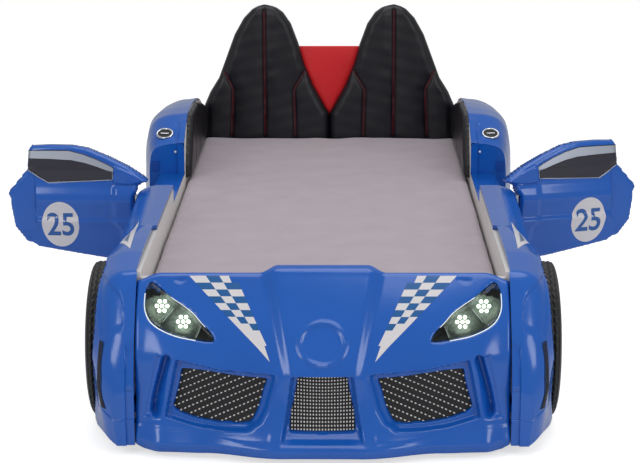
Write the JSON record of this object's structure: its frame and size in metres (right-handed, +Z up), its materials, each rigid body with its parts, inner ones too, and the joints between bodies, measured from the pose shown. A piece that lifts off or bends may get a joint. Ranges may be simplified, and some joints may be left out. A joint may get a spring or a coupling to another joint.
{
  "type": "car bed for children",
  "caption": "Child's single bed shaped like a racing car, with hinged side doors, moulded nose and wings, headlights, wheels and a padded headboard.",
  "frame": {"origin": "on the floor, under the middle of the mattress", "axes": "+X across the bed, +Y towards the head end, +Z up"},
  "size_m": [1.8901, 2.357, 0.822],
  "materials": {
    "leather_black": "black leatherette with red stitching",
    "steel": "zinc-plated steel",
    "beech": "beech, bare",
    "black_plastic": "black plastic, satin",
    "leather_red": "red leatherette",
    "board_raw": "plywood, bare",
    "abs_white": "glossy white ABS with printed film",
    "abs_blue": "vacuum-formed ABS, glossy royal blue",
    "board_white": "melamine-faced chipboard, white, satin",
    "grille_black": "perforated black sheet",
    "housing_chrome": "metallised plastic",
    "lens_smoke": "smoked clear plastic",
    "lamp_white": "white lamp board with clear diodes",
    "sheet_mauve": "cotton jersey fitted sheet, mauve grey",
    "rim_silver": "silver painted ABS",
    "tyre_black": "black ABS, satin",
    "window_film": "printed film, grey over dark"
  },
  "bodies": {
    "frame": {"backrest_left": "leather_black", "backrest_right": "leather_black", "bracket_bolts": "steel", "centre_beam": "beech", "centre_foot": "black_plastic", "centre_leg": "beech", "centre_panel": "leather_red", "control_box": "black_plastic", "corner_brackets": "steel", "door_catches": "abs_white", "fender_front_left": "abs_blue", "fender_front_right": "abs_blue", "fender_rear_left": "abs_blue", "fender_rear_right": "abs_blue", "floor_glides": "black_plastic", "foot_board": "board_white", "front_shell": "abs_blue", "grille_centre": "grille_black", "grille_left": "grille_black", "grille_right": "grille_black", "headboard": "board_white", "headlight_housing_left": "housing_chrome", "headlight_housing_right": "housing_chrome", "headlight_lens_left": "lens_smoke", "headlight_lens_right": "lens_smoke", "hinge_body_leaf_left": "steel", "hinge_body_leaf_right": "steel", "hinge_pins": "steel", "led_boards_left": "lamp_white", "led_boards_right": "lamp_white", "mattress": "sheet_mauve", "nose_ribs": "board_raw", "power_inlet": "black_plastic", "rim_front_left": "rim_silver", "rim_front_right": "rim_silver", "rim_rear_left": "rim_silver", "rim_rear_right": "rim_silver", "seat_board_left": "board_raw", "seat_board_right": "board_raw", "side_board_left": "board_white", "side_board_right": "board_white", "side_pad_left": "leather_black", "side_pad_right": "leather_black", "sill_left": "abs_blue", "sill_right": "abs_blue", "slat_rails": "beech", "slats": "beech", "tyre_front_left": "tyre_black", "tyre_front_right": "tyre_black", "tyre_rear_left": "tyre_black", "tyre_rear_right": "tyre_black", "wing_badges": "housing_chrome"},
    "door_left": {"door_shell_left": "abs_blue", "door_board_left": "board_raw", "window_panel_left": "window_film", "hinge_door_leaf_left": "steel"},
    "door_right": {"door_shell_right": "abs_blue", "door_board_right": "board_raw", "window_panel_right": "window_film", "hinge_door_leaf_right": "steel"}
  },
  "joints": [
    {"name": "door_left_hinge", "type": "hinge", "parent": "frame", "child": "door_left", "pos_m": [-0.568, -0.112, 0.3], "axis": [0, 0, 1], "range_deg": [-88, 2]},
    {"name": "door_right_hinge", "type": "hinge", "parent": "frame", "child": "door_right", "pos_m": [0.568, -0.112, 0.3], "axis": [0, 0, 1], "range_deg": [-17, 73]}
  ]
}
